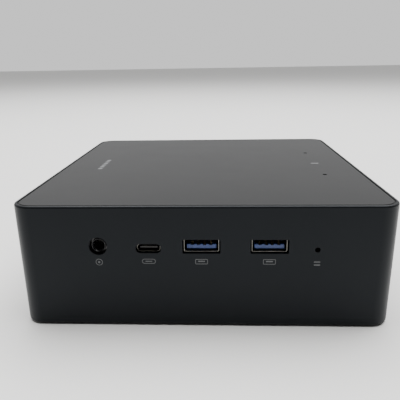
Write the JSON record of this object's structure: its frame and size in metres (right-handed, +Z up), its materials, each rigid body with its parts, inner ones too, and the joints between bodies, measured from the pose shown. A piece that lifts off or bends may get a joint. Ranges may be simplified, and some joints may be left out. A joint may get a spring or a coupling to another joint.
{
  "type": "mini pc",
  "caption": "Compact square desktop computer in a dark metal case with an inset lid, front and rear ports, and a cooler that breathes through its underside.",
  "frame": {"origin": "middle of the footprint, on the surface that the feet stand on", "axes": "+Z up, the front with its ports looks towards -Y, +X is to the right of someone facing the front"},
  "size_m": [0.144, 0.142, 0.0492],
  "materials": {
    "case_coat": "dark blue-grey fine matt coating",
    "lid_coat": "dark grey satin coating",
    "cover_plastic": "fine moulded texture",
    "panel_plastic": "fine moulded texture",
    "button_plastic": "smooth satin",
    "foot_rubber": "matt",
    "black_screw": "black oxide",
    "steel_screw": "zinc plated",
    "port_nickel": "nickel plated, satin",
    "port_blue": "moulded nylon",
    "port_black": "moulded nylon",
    "board_mask": "dark solder mask",
    "card_mask": "green solder mask",
    "chip_black": "moulded package",
    "fin_aluminium": "milled",
    "fan_plastic": "satin",
    "cell_steel": "nickel plated",
    "antenna_film": "printed film",
    "lead_black": "smooth sheath"
  },
  "bodies": {
    "root": {"antenna_lead_left": "lead_black", "antenna_lead_right": "lead_black", "antenna_left": "antenna_film", "antenna_right": "antenna_film", "audio_jack": "port_black", "board_screw_front_left": "steel_screw", "board_screw_front_right": "steel_screw", "board_screw_rear_left": "steel_screw", "board_screw_rear_right": "steel_screw", "bottom_cover": "cover_plastic", "case_shell": "case_coat", "coin_cell": "cell_steel", "coin_holder": "port_black", "cover_screw_front_left": "black_screw", "cover_screw_front_right": "black_screw", "cover_screw_rear_left": "black_screw", "cover_screw_rear_right": "black_screw", "dc_inlet": "port_black", "fan_frame": "fan_plastic", "fan_lead": "lead_black", "foot_front_left": "foot_rubber", "foot_front_right": "foot_rubber", "foot_rear_left": "foot_rubber", "foot_rear_right": "foot_rubber", "front_usb_a_left_shell": "port_nickel", "front_usb_a_left_tongue": "port_blue", "front_usb_a_right_shell": "port_nickel", "front_usb_a_right_tongue": "port_blue", "front_usb_c_shell": "port_nickel", "front_usb_c_tongue": "port_black", "heatsink": "fin_aluminium", "lan_socket": "port_black", "mic_board": "card_mask", "motherboard": "board_mask", "power_switch": "chip_black", "processor": "chip_black", "ram_module_1": "card_mask", "ram_module_2": "card_mask", "ram_slot_1": "port_black", "ram_slot_2": "port_black", "rear_panel": "panel_plastic", "rear_usb_a_left_shell": "port_nickel", "rear_usb_a_left_tongue": "port_blue", "rear_usb_a_right_shell": "port_nickel", "rear_usb_a_right_tongue": "port_blue", "reset_switch": "chip_black", "ssd_card": "card_mask", "ssd_screw": "steel_screw", "ssd_socket": "port_black", "video_slim_shell": "port_nickel", "video_slim_tongue": "port_black", "video_wide_shell": "port_nickel", "video_wide_tongue": "port_black", "wireless_card": "card_mask", "wireless_screw": "steel_screw", "wireless_socket": "port_black"},
    "lid": {"top_lid": "lid_coat"},
    "fan": {"fan_rotor": "fan_plastic"},
    "power_button": {"power_button": "button_plastic"},
    "reset_button": {"reset_button": "button_plastic"}
  },
  "joints": [
    {"name": "lid_lift", "type": "slide", "parent": "root", "child": "lid", "axis": [0, 0, 1], "range_m": [0, 0.05]},
    {"name": "fan_spin", "type": "hinge", "parent": "root", "child": "fan", "pos_m": [0, 0, 0.0087], "axis": [0, 0, 1], "continuous": true},
    {"name": "power_press", "type": "slide", "parent": "root", "child": "power_button", "axis": [0, -1, 0], "range_m": [0, 0.0005], "stiffness_N_per_m": 1500, "springref_m": -0.0003},
    {"name": "reset_press", "type": "slide", "parent": "root", "child": "reset_button", "axis": [0, 1, 0], "range_m": [0, 0.0003], "stiffness_N_per_m": 1500, "springref_m": -0.0003}
  ]
}
